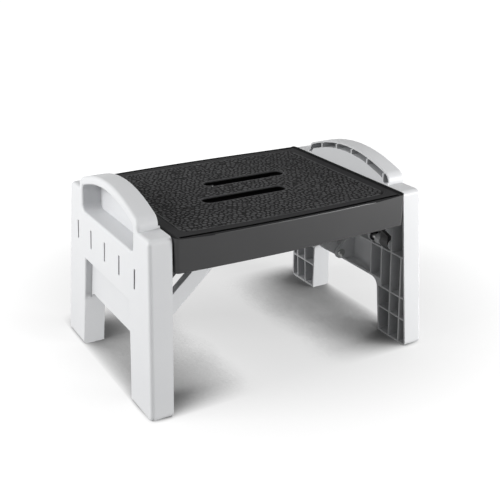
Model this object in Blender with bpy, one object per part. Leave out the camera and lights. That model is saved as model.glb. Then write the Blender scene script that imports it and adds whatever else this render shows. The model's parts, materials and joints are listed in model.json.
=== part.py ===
"""Folding caravan step: a black tread on two white end panels that fold in under it.

Metres, +Z up. The origin lies on the floor under the middle of the tread, X runs along
the tread and -Y is the front. The step looks the same when it is turned half round about
Z, so the left end is the right end turned by 180 degrees.
"""
import math

import bmesh
import bpy
from mathutils import Matrix, Vector

MM = 0.001
FIT = 0.3 * MM          # gap between pieces that touch
OVERRUN = 2.0 * MM      # how far a cutter runs past the surface it opens
ROOT = 0.6 * MM         # how far an added feature is sunk into its wall

# Tread
TREAD_TOP = 228.0 * MM
TREAD_LENGTH = 340.0 * MM
TREAD_DEPTH = 271.0 * MM        # at its ends
TREAD_BOW = 5.0 * MM            # the long sides bulge by this much in the middle
TREAD_CORNER = 6.0 * MM
APRON_HEIGHT = 43.0 * MM
APRON_WALL = 4.0 * MM
DECK_THICKNESS = 5.0 * MM
END_RIM_WIDTH = 6.0 * MM        # raised rim along each end
END_RIM_TOP = 2.5 * MM          # level part of that rim
END_RIM_HEIGHT = 1.2 * MM
LIP_WIDTH = 2.2 * MM
GROOVE_WIDTH = 2.6 * MM
GROOVE_DEPTH = 2.5 * MM
GROOVE_END_MARGIN = 13.5 * MM
DECK_RIB = 3.0 * MM
DECK_RIB_HEIGHT = 22.0 * MM
DECK_RIB_PLACE = 110.0 * MM     # from the middle of the tread

# Non-slip mat let into the tread
MAT_MARGIN_END = 18.0 * MM
MAT_MARGIN_SIDE = 17.0 * MM
MAT_CORNER = 14.0 * MM
MAT_RECESS = 1.6 * MM
MAT_THICKNESS = 1.8 * MM
MAT_RELIEF = 0.8 * MM           # depth of the grooves between the pads on its face
PAD_PITCH = 24.0 * MM
PAD_GAP = 1.8 * MM
PAD_PEAK = 3.0 * MM             # how far the long sides of a pad are bent out in the middle
PAD_WANDER = 2.0 * MM           # how far a corner of a pad strays from its place
PAD_WAVES = (2.3, 4.1, 3.7, 1.9)    # turns per step along and across that scatter the corners, in radians
PAD_BORDER = 2.5 * MM           # plain edge round the field of pads

# Two hand-grip slots through mat and tread
GRIP_LENGTH = 124.0 * MM
GRIP_WIDTH = 19.0 * MM
GRIP_SPACING = 60.0 * MM        # between the middles of the slots, front to rear
GRIP_STAGGER = 34.0 * MM        # between the middles of the slots, end to end
GRIP_RIM = 1.0 * MM             # the mat is cut this much wider than the deck

# End panels
PANEL_GAP = 1.0 * MM            # tread end to panel, at the shoulder
PANEL_THICKNESS = 30.0 * MM
PANEL_SPLAY = 11.7 * MM         # the feet stand outside the shoulders by this much
PANEL_WALL = 3.0 * MM
SHOULDER_HEIGHT = 230.0 * MM
SHOULDER_DEPTH = 260.0 * MM
FOOT_DEPTH = 294.0 * MM
FOOT_CORNER = 7.0 * MM          # at the feet and the shoulders
LEG_WIDTH = 62.0 * MM
OPENING_TOP = 82.0 * MM         # underside of the web between the legs
OPENING_FILLET = 13.0 * MM
WEB_TOP = 134.0 * MM            # ledge over the set-back web
WEB_RECESS = 10.0 * MM
RECESS_SHARE = 0.7              # share of the fillets that the recess takes in
RIB = 2.5 * MM
LEG_RIB_LOW = 40.0 * MM
LEG_RIB_HIGH = 72.5 * MM
RIB_INNER = 64.0 * MM           # upright ribs, from the middle of the panel
RIB_KNUCKLE = 88.0 * MM
RIB_GUSSET = 109.0 * MM
EDGE_BAY = 12.25 * MM           # from the edge rib to the flange, at the foot
EDGE_BAY_TIP = 2.0 * MM         # narrowest end of that bay

# Carrying arch and blind hand-hold
ARCH_WIDTH = 194.0 * MM
ARCH_EAVE = 13.5 * MM           # where the side and the roof line would meet, over the shoulder
ARCH_APEX = 45.5 * MM           # where the two roof lines would meet, over the shoulder
ARCH_CORNER = 14.0 * MM
ARCH_CROWN_SHARE = 0.72         # share of a roof line that the arc of the crown takes up
ARCH_BAND = 11.5 * MM           # width of the arch round the hand-hold
ARCH_SHELL = 2.5 * MM
ARCH_SETBACK = 2.5 * MM         # inner edge of the arch behind the panel's inner face
POCKET_FLOOR = 201.0 * MM
POCKET_CORNER = 8.0 * MM
POCKET_BACK = 3.0 * MM
POCKET_ROOF = 2.0 * MM
CHANNEL_RIBS = 5
CHANNEL_RIB_PITCH = 36.5 * MM
CHANNEL_RIB_OFFSET = -12.6 * MM

# Upright vents through the outer wall
VENTS = 5
VENT_PITCH = 48.2 * MM
VENT_OFFSET = -5.0 * MM
VENT_WIDTH = 4.0 * MM
VENT_LOW = 156.0 * MM
VENT_HIGH = 182.0 * MM

# Fold hinges
HINGE_HEIGHT = 145.0 * MM
HINGE_INSET = 3.0 * MM          # axis to the panel's inner face
HINGE_PIN_RADIUS = 4.0 * MM
HINGE_BOSS_RADIUS = 8.0 * MM
HINGE_LUG_RADIUS = 8.5 * MM
HINGE_SIDE_PLAY = 1.5 * MM
GUSSET_WALL = 2.3 * MM          # a little thinner than its rib
GUSSET_REACH = 12.0 * MM        # how far the gusset stands in from the panel's inner face
GUSSET_GAP = 5.0 * MM           # gusset to the underside of the apron
GUSSET_RISE = 22.0 * MM         # height of the gusset from the foot of its slope
SEAT_BOSS = 1.0 * MM            # boss on the inner side of the gusset rib
SEAT_DEPTH = 2.2 * MM           # blind seat of a hinge pin in that boss
KNUCKLE_BOSS = 11.0 * MM        # length of the boss at the knuckle rib
LUG_THROAT = 13.0 * MM          # straight side of a lug over the hinge axis
LUG_FLOOR_GAP = 1.25 * MM       # lug to the floor of its bay
LUG_ROOT_LENGTH = 27.0 * MM     # lug along the tread, where it leaves the apron

# Braces
BRACE_PIN_HEIGHT = 96.0 * MM
BRACE_PIN_STANDOFF = 8.0 * MM   # axis in front of the panel's inner face
BRACE_LENGTH = 124.6 * MM       # between its two pins
BRACE_SLOPE = math.radians(43.0)
BRACE_OUTER = 78.0 * MM         # far side of the brace, from the middle of the step
BRACE_PIN_RADIUS = 3.5 * MM
BRACE_KNUCKLE_RADIUS = 6.5 * MM
BRACE_ARM = 11.0 * MM           # width of each of its two arms
BRACE_ARM_HEIGHT = 22.0 * MM
BRACE_TAPER = 24.0 * MM         # over this length an arm narrows to each end
BRACE_PLATE = 4.0 * MM          # cross plate between the arms
BRACE_PLATE_START = 85.0 * MM   # from the lower pin
BRACE_PLATE_END = 116.0 * MM
BRACE_SIDE_PLAY = 1.0 * MM
BRACE_LUG = 5.0 * MM
BRACE_LUG_RADIUS = 9.0 * MM
BRACE_LUG_RISE = 34.0 * MM      # root of a lug over its pin
GUIDE_WALL = 4.0 * MM
GUIDE_MARGIN = 8.0 * MM         # guide wall past the ends of its slot
GUIDE_FLOOR = 3.0 * MM          # guide wall under its slot
GUIDE_PLAY = 0.5 * MM
GUIDE_STEPS = 10
SLOT_TOLERANCE = 0.05 * MM      # points of a slot's side nearer to the path by more are left out

# Pin heads and push-on clips
HEAD_THICKNESS = 2.0 * MM
HEAD_OVERHANG = 2.4 * MM
CLIP_THICKNESS = 1.2 * MM
CLIP_OVERHANG = 3.2 * MM
CLIP_ROOM = 1.0 * MM            # round a clip
PIN_TAIL = 2.0 * MM             # pin past its clip
ROUND_SIDES = 16
ARC_STEP = math.radians(15.0)
ARC_CHORD = 18.0 * MM           # longest straight piece of a rounded outline
ARC_SHARE = 0.8                 # share of a bowed side that is an arc, the rest runs straight to the corner

# Worked out from the sizes above
APRON_BOTTOM = TREAD_TOP - APRON_HEIGHT
DECK_UNDER = TREAD_TOP - DECK_THICKNESS
INNER_FACE = TREAD_LENGTH / 2 + PANEL_GAP       # of a panel, at the shoulder
OUTER_FACE = INNER_FACE + PANEL_THICKNESS
SPLAY_ANGLE = math.atan(PANEL_SPLAY / SHOULDER_HEIGHT)
FOLD_ANGLE = math.pi / 2 + SPLAY_ANGLE          # panel flat under the tread


def splay(height):
    """Outward offset of a panel at a height."""
    return PANEL_SPLAY * (1 - height / SHOULDER_HEIGHT)


def half_depth(height):
    """Half the depth of a panel at a height."""
    flare = (FOOT_DEPTH - SHOULDER_DEPTH) / 2
    return SHOULDER_DEPTH / 2 + flare * (1 - height / SHOULDER_HEIGHT)


def height_of(reach):
    """Height up to which a panel reaches this far from its middle."""
    flare = (FOOT_DEPTH - SHOULDER_DEPTH) / 2
    if flare <= 0:
        return SHOULDER_HEIGHT
    return SHOULDER_HEIGHT * (1 - (reach - SHOULDER_DEPTH / 2) / flare)


def leg_edge(height):
    """Where a leg's inner side lies, from the middle of the panel."""
    return half_depth(height) - LEG_WIDTH


HINGE = Vector((INNER_FACE + splay(HINGE_HEIGHT) + HINGE_INSET, 0, HINGE_HEIGHT))
BRACE_PIN = Vector((INNER_FACE + splay(BRACE_PIN_HEIGHT) - BRACE_PIN_STANDOFF, 0, BRACE_PIN_HEIGHT))
BRACE_INNER = BRACE_LUG / 2 + BRACE_SIDE_PLAY
LUG_SIDE_INNER = RIB_KNUCKLE + RIB / 2 + HINGE_SIDE_PLAY
LUG_SIDE_OUTER = RIB_GUSSET - RIB / 2 - HINGE_SIDE_PLAY
HINGE_SEAT = RIB_GUSSET - RIB / 2 - SEAT_BOSS + SEAT_DEPTH      # end of a hinge pin's bore
BAY_FLOOR = HINGE_HEIGHT - HINGE_LUG_RADIUS - LUG_FLOOR_GAP     # under a hinge lug
RIB_EDGE = half_depth(0) - PANEL_WALL - EDGE_BAY - RIB / 2      # upright rib next to the flange
ARCH_SLOPE = math.atan((ARCH_APEX - ARCH_EAVE) / (ARCH_WIDTH / 2))
ARCH_ROOF = ARCH_WIDTH / 2 / math.cos(ARCH_SLOPE)               # length of a roof line
ARCH_CROWN_RADIUS = ARCH_CROWN_SHARE * ARCH_ROOF / math.tan(ARCH_SLOPE)
POCKET_SIDE = ARCH_WIDTH / 2 - ARCH_BAND

# Folded, the upper pin of a brace is as high as it is with the step open
FOLDED_PIN = HINGE + Matrix.Rotation(FOLD_ANGLE, 3, "Y") @ (BRACE_PIN - HINGE)
BRACE_RISE = BRACE_PIN.z + BRACE_LENGTH * math.sin(BRACE_SLOPE) - FOLDED_PIN.z
BRACE_FOLDED_SLOPE = math.asin(BRACE_RISE / BRACE_LENGTH)


# Outlines and simple bodies


def rounded(corners):
    """Outline through corners (a, b, radius), each rounded with an arc."""
    outline = []
    count = len(corners)
    for index, (a, b, radius) in enumerate(corners):
        corner = Vector((a, b))
        before = Vector(corners[index - 1][:2]) - corner
        after = Vector(corners[(index + 1) % count][:2]) - corner
        if radius <= 0:
            outline.append(corner)
            continue
        before.normalize()
        after.normalize()
        half = before.angle(after) / 2
        reach = radius / math.tan(half)
        centre = corner + (before + after).normalized() * (radius / math.sin(half))
        start = corner + before * reach - centre
        sweep = (corner + after * reach - centre).angle_signed(start)
        steps = max(2, math.ceil(abs(sweep) / ARC_STEP), math.ceil(abs(sweep) * radius / ARC_CHORD))
        for step in range(steps + 1):
            turn = Matrix.Rotation(sweep * step / steps, 2)
            outline.append(centre + turn @ start)
    return outline


def round_end(centre, radius, before, after, way):
    """Arc between the lines from a point before and to a point after; way -1 is clockwise."""
    angles = []
    for point, turn in ((before, way), (after, -way)):
        reach = Vector(point) - Vector(centre)
        lean = math.acos(radius / reach.length)
        angles.append(math.atan2(reach.y, reach.x) + turn * lean)
    sweep = way * ((angles[1] - angles[0]) * way % (2 * math.pi))
    steps = max(2, math.ceil(abs(sweep) / ARC_STEP))
    turns = [angles[0] + sweep * step / steps for step in range(steps + 1)]
    return [(centre[0] + radius * math.cos(turn), centre[1] + radius * math.sin(turn)) for turn in turns]


def add_prism(mesh, outline, axis, low, high):
    """Adds a closed body: an outline in the plane across an axis, drawn out from low to high."""
    if axis == "x":
        points = [Vector((low, a, b)) for a, b in outline]
        way = Vector((high - low, 0, 0))
    elif axis == "y":
        points = [Vector((a, low, b)) for a, b in outline]
        way = Vector((0, high - low, 0))
    else:
        points = [Vector((a, b, low)) for a, b in outline]
        way = Vector((0, 0, high - low))
    face = mesh.faces.new([mesh.verts.new(point) for point in points])
    grown = bmesh.ops.extrude_face_region(mesh, geom=[face])
    moved = [item for item in grown["geom"] if isinstance(item, bmesh.types.BMVert)]
    bmesh.ops.translate(mesh, verts=moved, vec=way)


def add_box(mesh, low, high):
    """Adds a closed box between two corners."""
    outline = [(low[0], low[1]), (high[0], low[1]), (high[0], high[1]), (low[0], high[1])]
    add_prism(mesh, outline, "z", low[2], high[2])


def circle(centre, radius):
    """Round outline in the plane across Y."""
    turns = [2 * math.pi * step / ROUND_SIDES for step in range(ROUND_SIDES)]
    return [(centre[0] + radius * math.cos(turn), centre[2] + radius * math.sin(turn)) for turn in turns]


def add_round(mesh, centre, radius, low, high):
    """Adds a closed cylinder along Y."""
    add_prism(mesh, circle(centre, radius), "y", low, high)


def body(name, mesh):
    """Turns a bmesh into an object with its faces pointing out."""
    bmesh.ops.recalc_face_normals(mesh, faces=mesh.faces)
    data = bpy.data.meshes.new(name)
    mesh.to_mesh(data)
    mesh.free()
    thing = bpy.data.objects.new(name, data)
    bpy.context.collection.objects.link(thing)
    return thing


def combine(thing, mesh, operation):
    """Joins a bmesh to an object, or cuts it out, and keeps the result as the object's mesh."""
    tool = body("tool", mesh)
    modifier = thing.modifiers.new(operation, "BOOLEAN")
    modifier.operation = operation
    modifier.object = tool
    ready = thing.evaluated_get(bpy.context.evaluated_depsgraph_get())
    result = bpy.data.meshes.new_from_object(ready)
    thing.modifiers.clear()
    thing.data = result
    bpy.data.objects.remove(tool)


def taken_back(thing):
    """The mesh of an object that was only a step on the way, as a bmesh."""
    mesh = bmesh.new()
    mesh.from_mesh(thing.data)
    bpy.data.objects.remove(thing)
    return mesh


def finish(name):
    """A plain moulded or metal finish, by name."""
    colour, roughness, metallic = FINISHES[name]
    material = bpy.data.materials.get(name) or bpy.data.materials.new(name)
    material.use_nodes = True
    shader = material.node_tree.nodes["Principled BSDF"]
    shader.inputs["Base Color"].default_value = (*colour, 1)
    shader.inputs["Roughness"].default_value = roughness
    shader.inputs["Metallic"].default_value = metallic
    return material


FINISHES = {
    "black moulding": ((0.030, 0.030, 0.031), 0.50, 0.0),
    "non-slip rubber": ((0.022, 0.022, 0.023), 0.80, 0.0),
    "white moulding": ((0.78, 0.79, 0.80), 0.45, 0.0),
    "plated steel": ((0.55, 0.56, 0.57), 0.35, 1.0),
    "spring steel": ((0.20, 0.20, 0.21), 0.40, 1.0),
}


def place(thing, origin, surface):
    """Puts an object's origin on its axis and gives it its finish."""
    thing.data.transform(Matrix.Translation(-origin))
    thing.location = origin
    thing.data.materials.clear()
    thing.data.materials.append(finish(surface))
    thing.data.shade_smooth()
    thing.data.set_sharp_from_angle(angle=math.radians(30))


def turned_copy(thing, name):
    """The same piece at the other end of the step, turned half round about Z."""
    copy = bpy.data.objects.new(name, thing.data)
    copy.location = (-thing.location.x, -thing.location.y, thing.location.z)
    copy.rotation_euler = (0, 0, math.pi)
    bpy.context.collection.objects.link(copy)
    return copy


# Tread and mat


def bowed_outline(half_length, half_width, bow, corner):
    """Rectangle with long sides that bulge by bow, and rounded corners."""
    rise = bow / (1 - ARC_SHARE / 2)
    slope = math.atan(rise / half_length)
    bend = ARC_SHARE * half_length / math.cos(slope) / math.tan(slope)
    peak = half_width + rise
    sides = [(-half_length, -half_width, corner), (0, -peak, bend), (half_length, -half_width, corner)]
    return rounded(sides + [(-a, -b, radius) for a, b, radius in sides])


def grip_outline(sign, margin):
    """One hand-grip slot; sign picks the front or the rear one."""
    width = GRIP_WIDTH / 2 + margin
    length = GRIP_LENGTH / 2 + margin
    a = sign * GRIP_STAGGER / 2
    b = sign * GRIP_SPACING / 2
    near = width - ROOT
    ends = [(-length, -width), (length, -width), (length, width), (-length, width)]
    return rounded([(a + x, b + y, near) for x, y in ends])


def mat_outline(clearance):
    """Outline of the mat, drawn in by a clearance."""
    half_length = TREAD_LENGTH / 2 - MAT_MARGIN_END - clearance
    half_width = TREAD_DEPTH / 2 - MAT_MARGIN_SIDE - clearance
    return bowed_outline(half_length, half_width, TREAD_BOW, MAT_CORNER)


def groove_outline(sign):
    """Shadow groove behind the lip along the front or rear edge."""
    half_length = TREAD_LENGTH / 2 - GROOVE_END_MARGIN
    near = TREAD_DEPTH / 2 - LIP_WIDTH
    far = near - GROOVE_WIDTH
    edge = []
    for step in range(GUIDE_STEPS + 1):
        along = -1 + 2 * step / GUIDE_STEPS
        edge.append((half_length * along, TREAD_BOW * (1 - along * along)))
    outer = [(a, near + lift) for a, lift in edge]
    inner = [(a, far + lift) for a, lift in reversed(edge)]
    return [(sign * a, sign * b) for a, b in outer + inner]


def hinge_lug_outline():
    """Side view of the lug that reaches down from the tread to the hinge axis."""
    outer = TREAD_LENGTH / 2 - ROOT
    inner = outer - LUG_ROOT_LENGTH
    top = DECK_UNDER + ROOT
    heel = (outer, APRON_BOTTOM)
    throat = (HINGE.x - HINGE_LUG_RADIUS, HINGE.z + LUG_THROAT)
    eye = round_end((HINGE.x, HINGE.z), HINGE_LUG_RADIUS, heel, throat, -1)
    return [(inner, top), (outer, top), heel] + eye + [throat, (inner, APRON_BOTTOM)]


def brace_state(share):
    """Upper pin of the right brace when the panel has folded by a share of its travel."""
    turn = Matrix.Rotation(FOLD_ANGLE * share, 3, "Y")
    foot = HINGE + turn @ (BRACE_PIN - HINGE)
    slope = BRACE_SLOPE + (BRACE_FOLDED_SLOPE - BRACE_SLOPE) * share
    return foot + BRACE_LENGTH * Vector((-math.cos(slope), 0, math.sin(slope)))


def guide_path():
    """Path of the upper pin from the open step to the folded step."""
    return [brace_state(step / GUIDE_STEPS) for step in range(GUIDE_STEPS + 1)]


def add_guide_slot(mesh, low, high):
    """Adds the curved slot that the upper pin runs in."""
    radius = BRACE_PIN_RADIUS + GUIDE_PLAY
    path = guide_path()
    ways = [(path[min(i + 1, GUIDE_STEPS)] - path[max(i - 1, 0)]).normalized() for i in range(len(path))]
    above = [(p.x - way.z * -radius, p.z + way.x * -radius) for p, way in zip(path, ways)]
    below = [(p.x + way.z * -radius, p.z - way.x * -radius) for p, way in zip(path, ways)]
    outline = above + end_cap(path[-1], ways[-1], radius) + below[::-1] + end_cap(path[0], -ways[0], radius)
    kept = [(a, b) for a, b in outline if distance_to(Vector((a, 0, b)), path) > radius - SLOT_TOLERANCE]
    add_prism(mesh, kept, "y", low, high)


def distance_to(point, path):
    """Shortest distance from a point to a path of straight pieces."""
    shortest = math.inf
    for start, end in zip(path, path[1:]):
        along = (point - start).dot(end - start) / (end - start).length_squared
        nearest = start + (end - start) * min(max(along, 0), 1)
        shortest = min(shortest, (point - nearest).length)
    return shortest


def end_cap(point, way, radius):
    """Points round the end of a slot, from its upper side to its lower side as seen along way."""
    side = Vector((-way.z, 0, way.x)) * -radius
    cap = []
    for step in range(1, ROUND_SIDES // 2):
        turn = math.pi * step / (ROUND_SIDES // 2)
        spot = point + side * math.cos(turn) + way * (radius * math.sin(turn))
        cap.append((spot.x, spot.z))
    return cap


def guide_box():
    """Ends and underside of a guide wall for the right brace."""
    path = guide_path()
    reach = BRACE_PIN_RADIUS + GUIDE_PLAY
    low_x = min(p.x for p in path) - reach - GUIDE_MARGIN
    high_x = max(p.x for p in path) + reach + GUIDE_MARGIN
    low_z = min(p.z for p in path) - reach - GUIDE_FLOOR
    return low_x, high_x, low_z


def build_tread():
    half_length = TREAD_LENGTH / 2
    half_width = TREAD_DEPTH / 2
    mesh = bmesh.new()
    outline = bowed_outline(half_length, half_width, TREAD_BOW, TREAD_CORNER)
    add_prism(mesh, outline, "z", APRON_BOTTOM, TREAD_TOP + END_RIM_HEIGHT)
    tread = body("tread", mesh)

    # Level top between the end rims, hollow underside, mat recess, grooves behind the lips
    level = bmesh.new()
    foot = half_length - END_RIM_WIDTH
    slope = (END_RIM_WIDTH - END_RIM_TOP) / END_RIM_HEIGHT
    head = foot + slope * (END_RIM_HEIGHT + OVERRUN)
    over = TREAD_TOP + END_RIM_HEIGHT + OVERRUN
    width = half_width + TREAD_BOW + OVERRUN
    profile = [(-foot, TREAD_TOP), (foot, TREAD_TOP), (head, over), (-head, over)]
    add_prism(level, profile, "y", -width, width)
    combine(tread, level, "DIFFERENCE")
    hollow = bmesh.new()
    inside = max(TREAD_CORNER - APRON_WALL, FIT)
    outline = bowed_outline(half_length - APRON_WALL, half_width - APRON_WALL, TREAD_BOW, inside)
    add_prism(hollow, outline, "z", APRON_BOTTOM - OVERRUN, DECK_UNDER)
    combine(tread, hollow, "DIFFERENCE")
    recess = bmesh.new()
    add_prism(recess, mat_outline(0), "z", TREAD_TOP - MAT_RECESS, TREAD_TOP + OVERRUN)
    for sign in (-1, 1):
        add_prism(recess, groove_outline(sign), "z", TREAD_TOP - GROOVE_DEPTH, TREAD_TOP + OVERRUN)
    combine(tread, recess, "DIFFERENCE")

    # Ribs, brace guides and hinge lugs under the deck
    low_x, high_x, low_z = guide_box()
    top = DECK_UNDER + ROOT
    inside_depth = half_width - APRON_WALL + ROOT
    ribs = bmesh.new()
    add_box(ribs, (-high_x, -GUIDE_WALL / 2, low_z), (high_x, GUIDE_WALL / 2, top))
    near = BRACE_OUTER + BRACE_SIDE_PLAY
    for sign in (-1, 1):
        ends = sorted((sign * low_x, sign * high_x))
        sides = sorted((sign * near, sign * (near + GUIDE_WALL)))
        add_box(ribs, (ends[0], sides[0], low_z), (ends[1], sides[1], top))
        rib_x = sign * DECK_RIB_PLACE
        low = (rib_x - DECK_RIB / 2, -inside_depth, DECK_UNDER - DECK_RIB_HEIGHT)
        add_box(ribs, low, (rib_x + DECK_RIB / 2, inside_depth, top))
        lug = [(sign * a, b) for a, b in hinge_lug_outline()]
        for side in (-1, 1):
            reach = sorted((side * LUG_SIDE_INNER, side * LUG_SIDE_OUTER))
            add_prism(ribs, lug, "y", reach[0], reach[1])
    combine(tread, ribs, "UNION")

    # Guide slots, hinge bores and hand-grip slots
    holes = bmesh.new()
    wide = near + GUIDE_WALL + OVERRUN
    add_guide_slot(holes, -GUIDE_WALL / 2 - OVERRUN / 2, wide)
    other = bmesh.new()
    add_guide_slot(other, -GUIDE_WALL / 2 - OVERRUN / 2, wide)
    bmesh.ops.rotate(other, verts=other.verts, cent=(0, 0, 0), matrix=Matrix.Rotation(math.pi, 3, "Z"))
    for side in (-1, 1):
        for sign in (-1, 1):
            reach = sorted((side * (LUG_SIDE_INNER - OVERRUN), side * (LUG_SIDE_OUTER + OVERRUN)))
            centre = Vector((sign * HINGE.x, 0, HINGE.z))
            add_round(holes, centre, HINGE_PIN_RADIUS + FIT, reach[0], reach[1])
    combine(tread, holes, "DIFFERENCE")
    combine(tread, other, "DIFFERENCE")
    grips = bmesh.new()
    for sign in (-1, 1):
        add_prism(grips, grip_outline(sign, 0), "z", DECK_UNDER - OVERRUN, TREAD_TOP + OVERRUN)
    combine(tread, grips, "DIFFERENCE")
    place(tread, Vector((0, 0, TREAD_TOP)), "black moulding")


def pad_corner(column, row):
    """Corner of the pads, half a pad apart along a row, off its place by a repeatable amount."""
    along, across, along_too, across_too = PAD_WAVES
    stray_x = PAD_WANDER * math.sin(along * column + across * row)
    stray_y = PAD_WANDER * math.sin(along_too * column + across_too * row)
    peak = PAD_PEAK / 2 * (1 if (column + row) % 2 else -1)
    return Vector((column * PAD_PITCH / 2 + stray_x, row * PAD_PITCH + stray_y + peak))


def add_pads(mesh, low, high):
    """Adds six-sided pads in staggered rows, over more than the whole mat."""
    columns = math.ceil(TREAD_LENGTH / 2 / PAD_PITCH)
    rows = math.ceil((TREAD_DEPTH / 2 + TREAD_BOW) / PAD_PITCH)
    for row in range(-rows, rows):
        for column in range(-columns, columns):
            start = 2 * column + row % 2
            corners = [pad_corner(start + step, row) for step in (0, 1, 2)]
            corners += [pad_corner(start + step, row + 1) for step in (2, 1, 0)]
            middle = sum(corners, Vector((0, 0))) / len(corners)
            share = 1 - PAD_GAP / PAD_PITCH
            add_prism(mesh, [middle + (corner - middle) * share for corner in corners], "z", low, high)


def mat_grooves(top):
    """Network of shallow grooves between the pads, clear of the mat's edge and of the grip slots."""
    mesh = bmesh.new()
    add_prism(mesh, mat_outline(FIT + PAD_BORDER), "z", top - MAT_RELIEF, top + OVERRUN)
    grooves = body("grooves", mesh)
    pads = bmesh.new()
    add_pads(pads, top - MAT_RELIEF - OVERRUN, top + 2 * OVERRUN)
    combine(grooves, pads, "DIFFERENCE")
    rims = bmesh.new()
    for sign in (-1, 1):
        outline = grip_outline(sign, GRIP_RIM + PAD_BORDER)
        add_prism(rims, outline, "z", top - MAT_RELIEF - OVERRUN, top + 2 * OVERRUN)
    combine(grooves, rims, "DIFFERENCE")
    return taken_back(grooves)


def build_mat():
    low = TREAD_TOP - MAT_RECESS + FIT
    mesh = bmesh.new()
    add_prism(mesh, mat_outline(FIT), "z", low, low + MAT_THICKNESS)
    mat = body("non_slip_mat", mesh)
    combine(mat, mat_grooves(low + MAT_THICKNESS), "DIFFERENCE")
    grips = bmesh.new()
    for sign in (-1, 1):
        add_prism(grips, grip_outline(sign, GRIP_RIM), "z", low - OVERRUN, low + MAT_THICKNESS + OVERRUN)
    combine(mat, grips, "DIFFERENCE")
    place(mat, Vector((0, 0, low)), "non-slip rubber")


# End panels


def mirrored(right_side):
    """Closes an outline given from the bottom up on one side, with the other side its mirror image."""
    return rounded(right_side + [(-a, b, radius) for a, b, radius in reversed(right_side)])


def arch_corners(inset, foot, foot_radius):
    """Corners of the arch on one side, drawn in by inset."""
    half = ARCH_WIDTH / 2 - inset
    apex = SHOULDER_HEIGHT + ARCH_APEX - inset / math.cos(ARCH_SLOPE)
    eave = apex - half * math.tan(ARCH_SLOPE)
    corner = max(ARCH_CORNER - inset / 2, FIT)
    return [(half, foot, foot_radius), (half, eave, corner), (0, apex, ARCH_CROWN_RADIUS - inset)]


def arch_outline(inset, foot, foot_radius):
    """Arch, drawn in by inset and closed along a line at foot."""
    side = arch_corners(inset, foot, foot_radius)
    return rounded(side + [(-a, b, radius) for a, b, radius in reversed(side[:2])])


def panel_outline():
    """Outer outline of a panel without the opening between its legs."""
    foot = half_depth(0)
    shoulder = half_depth(SHOULDER_HEIGHT)
    lower = [(foot, 0, FOOT_CORNER), (shoulder, SHOULDER_HEIGHT, FOOT_CORNER)]
    upper = arch_corners(0, SHOULDER_HEIGHT, 0)
    side = lower + upper
    return rounded(side + [(-a, b, radius) for a, b, radius in reversed(side[:-1])])


def between_legs(low, top, fillet):
    """Outline of the space between the legs from one height to another."""
    return mirrored([(leg_edge(low), low, 0), (leg_edge(top), top, fillet)])


def add_cells(mesh):
    """Adds the pockets between the ribs on the inner side, which leave the ribs standing."""
    skin = OUTER_FACE - PANEL_WALL
    web = OUTER_FACE - WEB_RECESS - PANEL_WALL
    mouth = INNER_FACE - OVERRUN
    half = RIB / 2

    def flange(height):
        return half_depth(height) - PANEL_WALL

    def leg_side(height):
        return leg_edge(height) + PANEL_WALL

    def cell(near, far, low, high, depth):
        for sign in (-1, 1):
            corners = [(near(low), low), (far(low), low), (far(high), high), (near(high), high)]
            add_prism(mesh, [(sign * a, b) for a, b in corners], "x", mouth, depth)

    def middle(low, high, depth):
        reach = RIB_INNER - half
        add_box(mesh, (mouth, -reach, low), (depth, reach, high))

    def at(value):
        return lambda height: value

    gusset = (at(RIB_GUSSET - half), at(RIB_GUSSET + half))
    edge = (at(RIB_EDGE - half), at(RIB_EDGE + half))
    knuckle = (at(RIB_KNUCKLE - half), at(RIB_KNUCKLE + half))
    inner = at(RIB_INNER + half)

    def beside_knuckle(height):
        return max(RIB_KNUCKLE + half, leg_side(height))

    # Legs, three rows of three; the top row ends under the hinge bays
    rows = [(PANEL_WALL, LEG_RIB_LOW - half, leg_side), (LEG_RIB_LOW + half, LEG_RIB_HIGH - half, leg_side)]
    rows.append((LEG_RIB_HIGH + half, BAY_FLOOR - RIB, beside_knuckle))
    edge_top = height_of(RIB_EDGE + half + PANEL_WALL + EDGE_BAY_TIP)
    for low, high, side in rows:
        cell(side, gusset[0], low, high, skin)
        cell(gusset[1], edge[0], low, high, skin)
        cell(edge[1], flange, low, min(high, edge_top), skin)

    # Web between the legs
    low = OPENING_TOP + PANEL_WALL
    high = WEB_TOP - half
    middle(low, high, web)
    cell(inner, knuckle[0], low, high, web)

    # Over the web, up to the hand-hold, with the hinge bays at the sides
    low = WEB_TOP + half
    high = POCKET_FLOOR - PANEL_WALL
    middle(low, high, skin)
    cell(inner, knuckle[0], low, high, skin)
    cell(knuckle[1], gusset[0], BAY_FLOOR, high, skin)
    cell(gusset[1], flange, BAY_FLOOR, SHOULDER_HEIGHT - PANEL_WALL, skin)


def add_shoulder_cells(mesh):
    """Adds the pockets beside the hand-hold, which carry the hinge bays on up to the shoulder."""
    near = max(RIB_KNUCKLE + RIB / 2, POCKET_SIDE + PANEL_WALL)
    far = RIB_GUSSET - RIB / 2
    low = POCKET_FLOOR - PANEL_WALL - OVERRUN
    for side in (-1, 1):
        reach = sorted((side * near, side * far))
        corner = (OUTER_FACE - PANEL_WALL, reach[1], SHOULDER_HEIGHT - PANEL_WALL)
        add_box(mesh, (INNER_FACE - OVERRUN, reach[0], low), corner)


def add_clip_rooms(mesh):
    """Adds room round the clips of the hinge pins, which a low hinge brings to the ledge."""
    reach = HINGE_PIN_RADIUS + CLIP_OVERHANG + CLIP_ROOM
    depth = INNER_FACE + HINGE_INSET + reach
    near = RIB_INNER + RIB / 2 + ROOT
    far = RIB_KNUCKLE - KNUCKLE_BOSS
    for side in (-1, 1):
        ends = sorted((side * near, side * far))
        low = (INNER_FACE - OVERRUN, ends[0], HINGE_HEIGHT - reach)
        add_box(mesh, low, (depth, ends[1], HINGE_HEIGHT + reach))


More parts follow.
